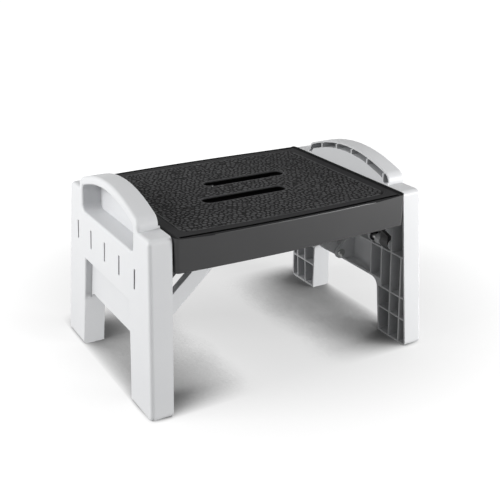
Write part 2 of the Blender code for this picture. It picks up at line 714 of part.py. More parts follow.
def channel_cutter():
    """Hollow of the arch round the hand-hold, with its cross ribs left out of the cut."""
    foot = SHOULDER_HEIGHT + PANEL_WALL / 2
    mouth = INNER_FACE - OVERRUN
    skin = OUTER_FACE - PANEL_WALL
    mesh = bmesh.new()
    add_prism(mesh, arch_outline(ARCH_SHELL, foot, 0), "x", mouth, skin)
    channel = body("channel", mesh)
    keep = bmesh.new()
    inside = arch_outline(ARCH_BAND - POCKET_ROOF, POCKET_FLOOR, 0)
    add_prism(keep, inside, "x", mouth - OVERRUN, skin + OVERRUN)
    combine(channel, keep, "DIFFERENCE")
    ribs = bmesh.new()
    top = SHOULDER_HEIGHT + ARCH_APEX + OVERRUN
    for index in range(CHANNEL_RIBS):
        middle = CHANNEL_RIB_OFFSET + (index - (CHANNEL_RIBS - 1) / 2) * CHANNEL_RIB_PITCH
        low = (mouth - OVERRUN, middle - RIB / 2, POCKET_FLOOR)
        add_box(ribs, low, (skin + OVERRUN, middle + RIB / 2, top))
    combine(channel, ribs, "DIFFERENCE")
    return taken_back(channel)


def setback_cutter():
    """Slice off the inner edge of the arch, outside its hollow."""
    foot = SHOULDER_HEIGHT + PANEL_WALL
    mouth = INNER_FACE - OVERRUN
    mesh = bmesh.new()
    add_prism(mesh, arch_outline(-OVERRUN, foot, 0), "x", mouth, INNER_FACE + ARCH_SETBACK)
    edge = body("edge", mesh)
    keep = bmesh.new()
    inside = arch_outline(ARCH_SHELL + ROOT, POCKET_FLOOR, 0)
    add_prism(keep, inside, "x", mouth - OVERRUN, INNER_FACE + ARCH_SETBACK + OVERRUN)
    combine(edge, keep, "DIFFERENCE")
    return taken_back(edge)


def shell():
    """Ribbed panel moulding, still upright."""
    mesh = bmesh.new()
    add_prism(mesh, panel_outline(), "x", INNER_FACE, OUTER_FACE)
    panel = body("right_end_panel", mesh)

    # Opening between the legs, set-back web and blind hand-hold, all cut from outside
    opening = bmesh.new()
    outside = OUTER_FACE + OVERRUN
    space = between_legs(-OVERRUN, OPENING_TOP, OPENING_FILLET)
    add_prism(opening, space, "x", INNER_FACE - OVERRUN, outside)
    combine(panel, opening, "DIFFERENCE")
    faces = bmesh.new()
    low = OPENING_TOP - RECESS_SHARE * OPENING_FILLET
    add_prism(faces, between_legs(low, WEB_TOP, 0), "x", OUTER_FACE - WEB_RECESS, outside)
    hold = arch_outline(ARCH_BAND, POCKET_FLOOR, POCKET_CORNER)
    add_prism(faces, hold, "x", INNER_FACE + POCKET_BACK, outside)
    combine(panel, faces, "DIFFERENCE")

    cells = bmesh.new()
    add_cells(cells)
    combine(panel, cells, "DIFFERENCE")
    beside = bmesh.new()
    add_shoulder_cells(beside)
    add_clip_rooms(beside)
    combine(panel, beside, "DIFFERENCE")
    combine(panel, channel_cutter(), "DIFFERENCE")
    combine(panel, setback_cutter(), "DIFFERENCE")
    vents = bmesh.new()
    for index in range(VENTS):
        middle = VENT_OFFSET + (index - (VENTS - 1) / 2) * VENT_PITCH
        low = (OUTER_FACE - PANEL_WALL - OVERRUN, middle - VENT_WIDTH / 2, VENT_LOW)
        add_box(vents, low, (outside, middle + VENT_WIDTH / 2, VENT_HIGH))
    combine(panel, vents, "DIFFERENCE")
    for vertex in panel.data.vertices:
        vertex.co.x += splay(vertex.co.z)
    return panel


def gusset_outline():
    """Side view of the wall that carries the outer end of a hinge pin and stands in under the tread."""
    head = APRON_BOTTOM - GUSSET_GAP
    foot = head - GUSSET_RISE
    face = INNER_FACE + splay(foot)
    back = OUTER_FACE - PANEL_WALL + ROOT
    tip = face - GUSSET_REACH
    return [(back, foot), (back, head), (tip, head), (tip, foot + GUSSET_REACH), (face, foot)]


def brace_lug_outline(wall):
    """Side view of a lug that carries the brace pin; wall is the upright panel's face that it grows from."""
    low = OPENING_TOP + PANEL_WALL / 2
    high = BRACE_PIN.z + BRACE_LUG_RISE
    foot = (wall + splay(low) + ROOT, low)
    head = (wall + splay(high) + ROOT, high)
    return [foot, head] + round_end((BRACE_PIN.x, BRACE_PIN.z), BRACE_LUG_RADIUS, head, foot, 1)


def build_panels():
    panel = shell()
    half = RIB / 2

    # Hinge bosses and gussets, brace lugs
    lugs = bmesh.new()
    for side in (-1, 1):
        reach = sorted((side * (RIB_KNUCKLE - KNUCKLE_BOSS), side * RIB_KNUCKLE))
        add_round(lugs, HINGE, HINGE_BOSS_RADIUS, reach[0], reach[1])
        reach = sorted((side * (RIB_INNER - half - ROOT), side * (RIB_INNER + half + ROOT)))
        add_round(lugs, HINGE, HINGE_BOSS_RADIUS, reach[0], reach[1])
    combine(panel, lugs, "UNION")
    walls = bmesh.new()
    for side in (-1, 1):
        middle = side * RIB_GUSSET
        add_prism(walls, gusset_outline(), "y", middle - GUSSET_WALL / 2, middle + GUSSET_WALL / 2)
    combine(panel, walls, "UNION")
    eyes = bmesh.new()
    for side in (-1, 1):
        reach = sorted((side * (RIB_GUSSET - half - SEAT_BOSS), side * RIB_GUSSET))
        add_round(eyes, HINGE, HINGE_BOSS_RADIUS, reach[0], reach[1])
    combine(panel, eyes, "UNION")
    brackets = bmesh.new()
    web = OUTER_FACE - WEB_RECESS - PANEL_WALL
    far = BRACE_OUTER + BRACE_SIDE_PLAY
    add_prism(brackets, brace_lug_outline(web), "y", -BRACE_LUG / 2, BRACE_LUG / 2)
    add_prism(brackets, brace_lug_outline(web), "y", far, far + BRACE_LUG)
    combine(panel, brackets, "UNION")

    # Bores for the pins
    bores = bmesh.new()
    for side in (-1, 1):
        inside = RIB_INNER - half - OVERRUN
        reach = sorted((side * inside, side * HINGE_SEAT))
        add_round(bores, HINGE, HINGE_PIN_RADIUS + FIT, reach[0], reach[1])
    combine(panel, bores, "DIFFERENCE")
    bore = bmesh.new()
    add_round(bore, BRACE_PIN, BRACE_PIN_RADIUS + FIT, -BRACE_LUG, far + BRACE_LUG + OVERRUN)
    combine(panel, bore, "DIFFERENCE")
    place(panel, HINGE, "white moulding")
    turned_copy(panel, "left_end_panel")


# Braces


def arm_outline():
    """Side view of an arm of a brace, along +X from its lower pin."""
    half = BRACE_ARM_HEIGHT / 2
    above = (BRACE_TAPER, half)
    below = (BRACE_TAPER, -half)
    lower = round_end((0, 0), BRACE_KNUCKLE_RADIUS, above, below, 1)
    far_above = (BRACE_LENGTH - BRACE_TAPER, half)
    far_below = (BRACE_LENGTH - BRACE_TAPER, -half)
    upper = round_end((BRACE_LENGTH, 0), BRACE_KNUCKLE_RADIUS, far_below, far_above, 1)
    return [above] + lower + [below, far_below] + upper + [far_above]


def build_braces():
    # The brace is drawn along +X from its lower pin, then tilted to its slope
    mesh = bmesh.new()
    add_prism(mesh, arm_outline(), "y", BRACE_INNER, BRACE_INNER + BRACE_ARM)
    add_prism(mesh, arm_outline(), "y", BRACE_OUTER - BRACE_ARM, BRACE_OUTER)
    brace = body("right_brace", mesh)
    links = bmesh.new()
    start = Vector((0, 0, 0))
    end = Vector((BRACE_LENGTH, 0, 0))
    low = BRACE_INNER + BRACE_ARM / 2
    high = BRACE_OUTER - BRACE_ARM / 2
    add_round(links, start, BRACE_KNUCKLE_RADIUS - ROOT, low, high)
    half = BRACE_PLATE / 2
    add_box(links, (BRACE_PLATE_START, low, -half), (BRACE_PLATE_END, high, half))
    combine(brace, links, "UNION")
    bores = bmesh.new()
    for centre in (start, end):
        low = BRACE_INNER - OVERRUN
        add_round(bores, centre, BRACE_PIN_RADIUS + FIT, low, BRACE_OUTER + OVERRUN)
    combine(brace, bores, "DIFFERENCE")
    tilt = Matrix.Rotation(BRACE_SLOPE - math.pi, 4, "Y") @ Matrix.Scale(-1, 4, (0, 0, 1))
    brace.data.transform(Matrix.Translation(BRACE_PIN) @ tilt)
    brace.data.flip_normals()
    place(brace, BRACE_PIN, "white moulding")
    turned_copy(brace, "left_brace")


# Pins and clips


def build_pin(name, radius, head_low, tail):
    """Headed pin along Y; head_low is the outer face of its head and tail its plain end."""
    way = math.copysign(1, tail - head_low)
    mesh = bmesh.new()
    ends = sorted((head_low, tail))
    add_round(mesh, Vector(), radius, ends[0], ends[1])
    pin = body(name, mesh)
    head = bmesh.new()
    ends = sorted((head_low, head_low + way * HEAD_THICKNESS))
    add_round(head, Vector(), radius + HEAD_OVERHANG, ends[0], ends[1])
    combine(pin, head, "UNION")
    return pin


def build_clip(name, radius, low):
    """Push-on clip along Y round a pin."""
    mesh = bmesh.new()
    add_round(mesh, Vector(), radius + CLIP_OVERHANG, low, low + CLIP_THICKNESS)
    clip = body(name, mesh)
    bore = bmesh.new()
    add_round(bore, Vector(), radius + FIT, low - OVERRUN, low + CLIP_THICKNESS + OVERRUN)
    combine(clip, bore, "DIFFERENCE")
    return clip


def set_on(thing, axis, surface):
    """Moves a piece drawn round the Y axis onto a joint axis."""
    thing.data.transform(Matrix.Translation(axis))
    place(thing, axis, surface)


def build_fasteners():
    half = RIB / 2
    for side, word in ((-1, "front"), (1, "rear")):
        # The head and the clip hold the inner rib between them
        head = side * (RIB_INNER - half - ROOT - FIT - HEAD_THICKNESS)
        pin = build_pin("right_" + word + "_hinge_pin", HINGE_PIN_RADIUS, head, side * (HINGE_SEAT - FIT))
        set_on(pin, HINGE, "plated steel")
        seat = RIB_INNER + half + ROOT + FIT
        low = seat if side > 0 else -seat - CLIP_THICKNESS
        clip = build_clip("right_" + word + "_hinge_clip", HINGE_PIN_RADIUS, low)
        set_on(clip, HINGE, "spring steel")
        other = "front" if word == "rear" else "rear"
        turned_copy(pin, "left_" + other + "_hinge_pin")
        turned_copy(clip, "left_" + other + "_hinge_clip")

    # Lower brace pin through its lugs, upper one through the guide walls
    far = BRACE_OUTER + BRACE_SIDE_PLAY
    seats = {
        "brace_pivot": (BRACE_PIN, BRACE_LUG / 2, far + BRACE_LUG),
        "brace_slide": (brace_state(0), GUIDE_WALL / 2, far + GUIDE_WALL),
    }
    for word, (axis, near, outer) in seats.items():
        head = -near - FIT - HEAD_THICKNESS
        seat = outer + FIT
        pin = build_pin("right_" + word + "_pin", BRACE_PIN_RADIUS, head, seat + CLIP_THICKNESS + PIN_TAIL)
        clip = build_clip("right_" + word + "_clip", BRACE_PIN_RADIUS, seat)
        set_on(pin, axis, "plated steel")
        set_on(clip, axis, "spring steel")
        turned_copy(pin, "left_" + word + "_pin")
        turned_copy(clip, "left_" + word + "_clip")


def main():
    for thing in list(bpy.data.objects):
        bpy.data.objects.remove(thing)
    build_tread()
    build_mat()
    build_panels()
    build_braces()
    build_fasteners()


main()
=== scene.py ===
import bpy
import bmesh
import json
import math
import random
from mathutils import Matrix, Vector

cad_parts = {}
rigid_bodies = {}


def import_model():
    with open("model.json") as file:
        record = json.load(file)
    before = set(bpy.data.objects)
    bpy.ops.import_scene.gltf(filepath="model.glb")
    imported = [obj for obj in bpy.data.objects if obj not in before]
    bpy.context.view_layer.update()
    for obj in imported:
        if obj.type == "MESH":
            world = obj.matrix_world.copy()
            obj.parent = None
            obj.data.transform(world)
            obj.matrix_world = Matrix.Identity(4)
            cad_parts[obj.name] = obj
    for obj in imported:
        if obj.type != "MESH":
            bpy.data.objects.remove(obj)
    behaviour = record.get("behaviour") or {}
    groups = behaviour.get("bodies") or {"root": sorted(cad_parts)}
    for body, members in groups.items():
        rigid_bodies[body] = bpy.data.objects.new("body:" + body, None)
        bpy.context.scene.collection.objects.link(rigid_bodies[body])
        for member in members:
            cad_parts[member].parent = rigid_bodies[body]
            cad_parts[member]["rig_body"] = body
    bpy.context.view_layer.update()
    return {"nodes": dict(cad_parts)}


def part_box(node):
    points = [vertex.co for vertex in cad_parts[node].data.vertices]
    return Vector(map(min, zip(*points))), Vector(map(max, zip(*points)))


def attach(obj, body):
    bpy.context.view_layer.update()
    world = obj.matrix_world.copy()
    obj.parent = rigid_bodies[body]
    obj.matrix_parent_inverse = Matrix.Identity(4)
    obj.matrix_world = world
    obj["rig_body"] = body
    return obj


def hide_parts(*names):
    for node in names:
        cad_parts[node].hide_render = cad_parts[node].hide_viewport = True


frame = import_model()
nodes = frame["nodes"]
scene = bpy.context.scene
scene.view_settings.view_transform = "Standard"

mm = 0.001
near = 0.1  # how close counts as touching, mm
sides = ("left", "right")


# sRGB hex to the linear colour that a shader takes
def hexColour(text):
    parts = [int(text[i:i + 2], 16) / 255 for i in (1, 3, 5)]
    return [c / 12.92 if c <= 0.04045 else ((c + 0.055) / 1.055) ** 2.4 for c in parts] + [1.0]


# one node: settings are attributes, values are input defaults, links go from sockets to inputs
def addNode(tree, kind, settings=None, values=None, links=None):
    node = tree.nodes.new(kind)
    for name, value in (settings or {}).items():
        setattr(node, name, value)
    for name, value in (values or {}).items():
        node.inputs[name].default_value = value
    for name, socket in (links or {}).items():
        tree.links.new(socket, node.inputs[name])
    return node


# arithmetic on sockets and plain numbers
def calculate(tree, operation, *terms):
    links = {i: term for i, term in enumerate(terms) if isinstance(term, bpy.types.NodeSocket)}
    values = {i: term for i, term in enumerate(terms) if i not in links}
    return addNode(tree, "ShaderNodeMath", {"operation": operation}, values, links).outputs[0]


# goes from one level to another between two places
def ramp(tree, socket, places, levels, kind="LINEAR"):
    values = {"From Min": places[0], "From Max": places[1], "To Min": levels[0], "To Max": levels[1]}
    node = addNode(tree, "ShaderNodeMapRange", {"interpolation_type": kind}, values, {"Value": socket})
    return node.outputs["Result"]


# a blend of two colours, each a hex text or a socket
def mixColours(tree, factor, first, second):
    node = addNode(tree, "ShaderNodeMix", {"data_type": "RGBA"}, links={"Factor": factor})
    for place, colour in ((6, first), (7, second)):  # the two colour inputs of this node
        if isinstance(colour, str):
            node.inputs[place].default_value = hexColour(colour)
        else:
            tree.links.new(colour, node.inputs[place])
    return node.outputs[2]


# a noise pattern of a size in mm
def noise(tree, coords, size, detail):
    values = {"Scale": 1 / (size * mm), "Detail": detail}
    return addNode(tree, "ShaderNodeTexNoise", values=values, links={"Vector": coords}).outputs["Fac"]


def addBump(tree, shader, height, strength, depth):
    values = {"Strength": strength, "Distance": depth * mm}
    bump = addNode(tree, "ShaderNodeBump", values=values, links={"Height": height})
    tree.links.new(bump.outputs["Normal"], shader.inputs["Normal"])


# 1 for what is seen straight, in a reflection or through glass, 0 for light on other things
def seenDirectly(tree):
    ray = addNode(tree, "ShaderNodeLightPath").outputs
    shown = calculate(tree, "MAXIMUM", ray["Is Camera Ray"], ray["Is Glossy Ray"])
    return calculate(tree, "MAXIMUM", shown, ray["Is Transmission Ray"])


def newMaterial(name, values):
    material = bpy.data.materials.new(name)
    material.use_nodes = True
    tree = material.node_tree
    tree.nodes.clear()
    shader = addNode(tree, "ShaderNodeBsdfPrincipled", values=values)
    addNode(tree, "ShaderNodeOutputMaterial", links={"Surface": shader.outputs["BSDF"]})
    coords = addNode(tree, "ShaderNodeTexCoord").outputs["Object"]
    return material, tree, shader, coords


# polypropylene, injection moulded in a spark-eroded tool: a satin skin with a fine dull grain,
# slow clouds in the gloss where the melt cooled, and no print or polish
# grain is drawn at 0.9 mm; the real one is nearer 0.2 mm, too fine to show
plasticSet = {"ior": 1.49, "shine": 0.5, "cloud": 70, "cloudDetail": 3.0, "grain": 0.9, "grainDetail": 2.0,
              "spread": 0.08, "bump": 0.3,
              "reach": 40, "samples": 8,  # how far off a hollow's walls count for its painted shade, mm
              "recessDull": 0.5, "recessFade": 8.0}  # how a marked face turns dull, and dark as painted shade
whiteSet = {"light": "#EFF0F1", "dark": "#E8E9EB", "recess": "#E8E9EB", "hollow": "#C4C5C7",
            "rough": 0.42, "grainDepth": 0.05}
blackSet = {"light": "#2C2C2D", "dark": "#262627", "recess": "#080808", "hollow": "#1A1A1B",
            "rough": 0.36, "grainDepth": 0.06}


def mouldedPolypropylene(name, s, p):
    material, tree, shader, coords = newMaterial(name, {"IOR": p["ior"]})
    cloud = noise(tree, coords, p["cloud"], p["cloudDetail"])
    grain = noise(tree, coords, p["grain"], p["grainDetail"])
    recess = addNode(tree, "ShaderNodeAttribute", {"attribute_name": "recess"}).outputs["Fac"]
    # painted shade: strongly marked faces darken towards the shade colour
    dark = calculate(tree, "POWER", recess, p["recessFade"])
    colour = mixColours(tree, dark, mixColours(tree, cloud, s["dark"], s["light"]), s["recess"])
    openness = addNode(tree, "ShaderNodeAmbientOcclusion", {"samples": p["samples"], "only_local": True},
                       {"Distance": p["reach"] * mm}).outputs["AO"]
    colour = mixColours(tree, openness, s["hollow"], colour)  # painted shade: greyer in hollows, from the piece's own occlusion
    tree.links.new(colour, shader.inputs["Base Color"])
    tree.links.new(ramp(tree, recess, (0, 1), (p["shine"], 0)), shader.inputs["Specular IOR Level"])
    limits = (s["rough"] - p["spread"], s["rough"] + p["spread"])
    rough = ramp(tree, calculate(tree, "ADD", grain, cloud), (0, 2), limits)
    dull = calculate(tree, "MULTIPLY_ADD", recess, p["recessDull"], rough)
    tree.links.new(dull, shader.inputs["Roughness"])
    addBump(tree, shader, grain, p["bump"], s["grainDepth"])
    return material


whitePlastic = mouldedPolypropylene("whiteMouldedPolypropylene", whiteSet, plasticSet)
blackPlastic = mouldedPolypropylene("blackMouldedPolypropylene", blackSet, plasticSet)

# thermoplastic rubber, moulded with pebbles: dull tops with a faint grey sheen, near black in the gaps as
# painted shade
rubberSet = {"ior": 1.5, "shine": 0.06, "top": "#545455", "gap": "#0C0C0C", "rough": (0.52, 0.72),
             "grain": 0.7, "grainDetail": 2.0, "bump": 0.3, "grainDepth": 0.05}


def mouldedRubber(name, s):
    material, tree, shader, coords = newMaterial(name, {"IOR": s["ior"], "Specular IOR Level": s["shine"]})
    height = addNode(tree, "ShaderNodeAttribute", {"attribute_name": "pebble"}).outputs["Fac"]
    # painted shade: the colour goes from the grey tops to near black in the gaps by pebble height
    tree.links.new(mixColours(tree, height, s["gap"], s["top"]), shader.inputs["Base Color"])
    grain = noise(tree, coords, s["grain"], s["grainDetail"])
    tree.links.new(ramp(tree, grain, (0, 1), s["rough"]), shader.inputs["Roughness"])
    addBump(tree, shader, grain, s["bump"], s["grainDepth"])
    return material


matRubber = mouldedRubber("blackMouldedRubber", rubberSet)

# steel, drawn and zinc plated: a grey mirror broken by fine lengthwise draw lines
# and blackened spring steel for the clips: the same with a dark oil finish
steelSets = {
    "zincPlatedDrawnSteel": {"colour": "#C3C4C2", "rough": (0.22, 0.42), "line": 0.5, "length": 14},
    "blackenedSpringSteel": {"colour": "#3A3A3D", "rough": (0.30, 0.50), "line": 0.6, "length": 5},
}
drawSet = {"detail": 3.0, "bump": 0.2, "depth": 0.03}


def drawnSteel(name, s, d):
    values = {"Metallic": 1.0, "Base Color": hexColour(s["colour"])}
    material, tree, shader, coords = newMaterial(name, values)
    across, along = 1 / (s["line"] * mm), 1 / (s["length"] * mm)
    scale = {"Scale": (across, along, across)}
    stretch = addNode(tree, "ShaderNodeMapping", values=scale, links={"Vector": coords}).outputs["Vector"]
    lines = addNode(tree, "ShaderNodeTexNoise", values={"Scale": 1.0, "Detail": d["detail"]},
                    links={"Vector": stretch}).outputs["Fac"]
    tree.links.new(ramp(tree, lines, (0, 1), s["rough"]), shader.inputs["Roughness"])
    addBump(tree, shader, lines, d["bump"], d["depth"])
    return material


steels = {name: drawnSteel(name, s, drawSet) for name, s in steelSets.items()}
print("materials ready")

# merge, thin and seam are in mm, flat and smooth in degrees
cleanSet = {"merge": 0.004, "thin": 0.002, "seam": 0.001, "flat": 0.4, "smooth": 28}


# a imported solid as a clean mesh: merged corners, flat faces whole
def cadCopy(name):
    mesh = bmesh.new()
    mesh.from_mesh(nodes[name].data)
    bmesh.ops.remove_doubles(mesh, verts=mesh.verts, dist=cleanSet["merge"] * mm)
    flat = math.radians(cleanSet["flat"])
    bmesh.ops.dissolve_limit(mesh, angle_limit=flat, verts=mesh.verts, edges=mesh.edges)
    return mesh


# sharp is in degrees, the next three tell if an edge runs on, and the last two are shares of a length
roundSet = {"sharp": 26, "onward": -0.85, "straight": -0.97, "level": 0.02, "room": 1.05, "most": 0.45}


# rounds the sharp convex edges that a test picks, where the edges beside them leave room
# a rounding is its radius in mm and its number of steps
def roundEdges(mesh, rounding, test, checked=True):
    s = roundSet
    radius, steps = rounding
    least = math.radians(s["sharp"])

    def sharp(edge):
        return len(edge.link_faces) == 2 and edge.is_convex and edge.calc_face_angle(0) > least

    picked = {e for e in mesh.edges if sharp(e) and test(e)}

    # an edge is left sharp where its rounding would run past the end of an edge beside it
    def tight(edge):
        for vert in edge.verts:
            way = (edge.other_vert(vert).co - vert.co).normalized()
            for other in vert.link_edges:
                far = other.other_vert(vert)
                along = (far.co - vert.co).normalized().dot(way)
                onward = along < s["onward"] and other in picked
                seam = along < s["straight"] and other.calc_face_angle(0) < s["level"]
                if other is edge or onward or seam:
                    continue
                slide = radius * mm / math.sqrt(max(1e-4, 1 - along * along))
                shared = other in picked or any(e in picked for e in far.link_edges if e is not other)
                if other.calc_length() < slide * s["room"] * (2 if shared else 1):
                    return True
                if other not in picked and abs(along) * slide > s["most"] * edge.calc_length():
                    return True
        return False

    weak = checked
    while weak:
        weak = {e for e in picked if tight(e)}
        picked -= weak
    chosen = [e for e in mesh.edges if e in picked]
    bmesh.ops.bevel(mesh, geom=chosen, offset=radius * mm, offset_type="OFFSET", affect="EDGES",
                    segments=steps, profile=0.5, material=-1, clamp_overlap=False)
    bmesh.ops.remove_doubles(mesh, verts=mesh.verts, dist=cleanSet["merge"] * mm)
    bmesh.ops.dissolve_degenerate(mesh, dist=cleanSet["thin"] * mm, edges=mesh.edges)
    return len(chosen)


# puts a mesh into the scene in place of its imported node
def addPiece(mesh, name, material, node, body):
    data = bpy.data.meshes.new(name)
    mesh.to_mesh(data)
    mesh.free()
    data.materials.append(material)
    data.shade_smooth()
    data.set_sharp_from_angle(angle=math.radians(cleanSet["smooth"]))
    piece = bpy.data.objects.new(name, data)
    scene.collection.objects.link(piece)
    even = piece.modifiers.new("evenNormals", "WEIGHTED_NORMAL")  # flat faces stay flat beside a rounding
    even.keep_sharp = True
    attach(piece, body)
    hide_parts(node)


# end panels: leaning shells, rounded outside and thin-edged inside
panelSet = {"outer": 201.0, "lean": 11.7, "shoulder": 230.0, "middle": 130,  # the outer face, mm
            "rim": (5.0, 6), "hold": (3.0, 4), "opening": (2.5, 4), "vent": (0.5, 2), "rib": (0.45, 2),
            "sideFrom": 110, "topFrom": 205, "footTo": 10, "holdTo": 90, "holdFrom": 195, "openingTo": 150}


def makePanel(side, s):
    mesh = cadCopy("left_end_panel")  # both panels are one shape, turned half round

    def onFace(vert):
        reach = s["outer"] + s["lean"] * (1 - vert.co.z / mm / s["shoulder"])
        return abs(-vert.co.x / mm - reach) < near

    def outside(edge):
        return all(onFace(v) for v in edge.verts)

    def middle(edge):
        spot = (edge.verts[0].co + edge.verts[1].co) / 2 / mm
        return abs(spot.y), spot.z

    def onRim(edge):
        y, z = middle(edge)
        flank = max(edge.link_faces, key=lambda f: abs(f.normal.y) + abs(f.normal.z))
        centre = flank.calc_center_median() / mm
        away = flank.normal.y * centre.y + flank.normal.z * (centre.z - s["middle"]) > 0
        return outside(edge) and away and (y > s["sideFrom"] or z > s["topFrom"] or z < s["footTo"])

    def onHold(edge):
        y, z = middle(edge)
        return outside(edge) and y < s["holdTo"] and z > s["holdFrom"]

    def onOpening(edge):
        y, z = middle(edge)
        return outside(edge) and z < s["openingTo"]

    counts = [roundEdges(mesh, s["rim"], onRim, False),
              roundEdges(mesh, s["hold"], onHold, False),
              roundEdges(mesh, s["opening"], onOpening, False),
              roundEdges(mesh, s["vent"], outside),
              roundEdges(mesh, s["rib"], lambda edge: True)]
    if side == "right":
        bmesh.ops.rotate(mesh, verts=mesh.verts, cent=(0, 0, 0), matrix=Matrix.Rotation(math.pi, 3, "Z"))
    name, node, body = side + "PanelMoulding", side + "_end_panel", side + "_panel"
    addPiece(mesh, name, whitePlastic, node, body)
    print(side, "panel, edges rounded:", counts)


for side in sides:
    makePanel(side, panelSet)

# braces: two arms with soft edges
braceSet = {"edge": (1.2, 4), "least": 1.2}  # the shortest edge that is rounded, mm


def makeBrace(side, s):
    mesh = cadCopy(side + "_brace")
    count = roundEdges(mesh, s["edge"], lambda edge: edge.calc_length() > s["least"] * mm)
    addPiece(mesh, side + "BraceMoulding", whitePlastic, side + "_brace", side + "_brace")
    print(side, "brace, edges rounded:", count)


for side in sides:
    makeBrace(side, braceSet)

# tread: a rounded lip with a wide groove behind it, painted dark as shade, finer edges below
# shade-and-dull marks go from 0, as bright as the apron, to 1, as dark as the groove, the darkening being
# painted shade
treadSet = {"top": 228.0, "plate": 5.2, "apron": 185.0, "level": 0.05,
            "lip": (2.1, 6), "lipEnd": 166.0, "lipFace": 300,
            "foot": (1.0, 4), "footLeast": 3.0, "rib": (0.4, 2),
            "grooveEnd": 156.5, "grooveFar": 130.7, "grooveWide": 2.6, "grooveDeep": 2.5,
            "bow": 5.0, "widen": 2.0, "longer": 5.5, "margin": 0.3,
            "slotReach": 82.0, "slotSide": 42.0, "underReach": 150.0, "underSide": 128.0, "underShadeDull": 0.92,
            "topDeep": 3.0, "topShadeDull": 0.74, "endFrom": 160.0, "endShadeDull": 0.9,
            "upright": 0.3, "upward": 0.6}  # the z of a face's normal, at most and at least


def makeTread(s):
    mesh = cadCopy("tread")
    under = s["top"] - s["plate"]  # the underside is all that lies lower

    def heights(edge):
        return [v.co.z / mm for v in edge.verts]

    def levelAt(edge, height):
        return all(abs(z - height) < s["level"] for z in heights(edge))

    def flank(face):
        return abs(face.normal.z) < s["upright"] and face.calc_area() > s["lipFace"] * mm * mm

    def onLip(edge):
        within = all(abs(v.co.x) < s["lipEnd"] * mm for v in edge.verts)
        return within and levelAt(edge, s["top"]) and any(flank(f) for f in edge.link_faces)

    def onFoot(edge):
        return levelAt(edge, s["apron"]) and edge.calc_length() > s["footLeast"] * mm

    def onRib(edge):
        return max(heights(edge)) < under

    # how far a spot lies out from the inner wall of the groove, or nothing beyond its ends
    def fromGroove(spot):
        x, y = spot.x / mm, abs(spot.y) / mm
        deep = s["top"] - spot.z / mm
        if abs(x) < s["grooveEnd"] + s["longer"] + near and deep < s["grooveDeep"] + near:
            return y - s["grooveFar"] - s["bow"] * max(0, 1 - (x / s["grooveEnd"]) ** 2)

    # the groove is drawn wider and longer than the solid's
    for vert in mesh.verts:
        out = fromGroove(vert.co)
        if out is None or abs(vert.co.x) > (s["grooveEnd"] + near) * mm:
            continue
        if abs(vert.co.x) > (s["grooveEnd"] - near) * mm and -near < out < s["grooveWide"] + near:
            vert.co.x += math.copysign(s["longer"] * mm, vert.co.x)
        if abs(out) < near:
            vert.co.y -= math.copysign(s["widen"] * mm, vert.co.y)
    counts = [roundEdges(mesh, s["lip"], onLip, False),
              roundEdges(mesh, s["foot"], onFoot),
              roundEdges(mesh, s["rib"], onRib)]

    def bySlots(vert):
        return abs(vert.co.x) < s["slotReach"] * mm and abs(vert.co.y) < s["slotSide"] * mm

    recess = mesh.faces.layers.float.new("recess")
    for face in mesh.faces:
        centre = face.calc_center_median()
        x, y, z = abs(centre.x) / mm, abs(centre.y) / mm, centre.z / mm
        out = fromGroove(centre)
        across = out is not None and -s["widen"] - s["margin"] < out < s["grooveWide"] + near
        groove = across and z < s["top"] - s["margin"]
        slot = z > under and all(bySlots(v) for v in face.verts)
        # painted shade: groove and grip slot walls full dark, the underside nearly so, the ends of the top
        # darker than its middle, all also duller
        if groove or slot:
            face[recess] = 1.0
        elif z < under and x < s["underReach"] and y < s["underSide"]:
            face[recess] = s["underShadeDull"]
        elif face.normal.z > s["upward"] and z > s["top"] - s["topDeep"]:
            face[recess] = s["endShadeDull"] if x > s["endFrom"] else s["topShadeDull"]
    addPiece(mesh, "treadMoulding", blackPlastic, "tread", "tread")
    print("tread, edges rounded:", counts)


makeTread(treadSet)

# non-slip mat: a fine grid bent to the bowed outline, with a pebble at every cell of a scattered pattern
matSet = {"halfLength": 151.2, "halfWidth": 117.7, "bow": 5.0, "corner": 14.0, "low": 226.7, "top": 228.3,
          "spacing": 1.05, "touch": 0.02, "pull": 0.55,  # points this near a slot's edge join it, in spacings
          "pebble": 6.8, "scatter": 0.4, "gap": 0.14, "slope": 0.22,  # the last three and row are in pebbles
          "row": 0.866, "reach": 30, "seed": 5, "relief": 1.0, "plain": 0.8, "border": 2.0,
          "slotLength": 127.0, "slotWidth": 23.0, "slotSpacing": 60.0, "slotStagger": 34.0}


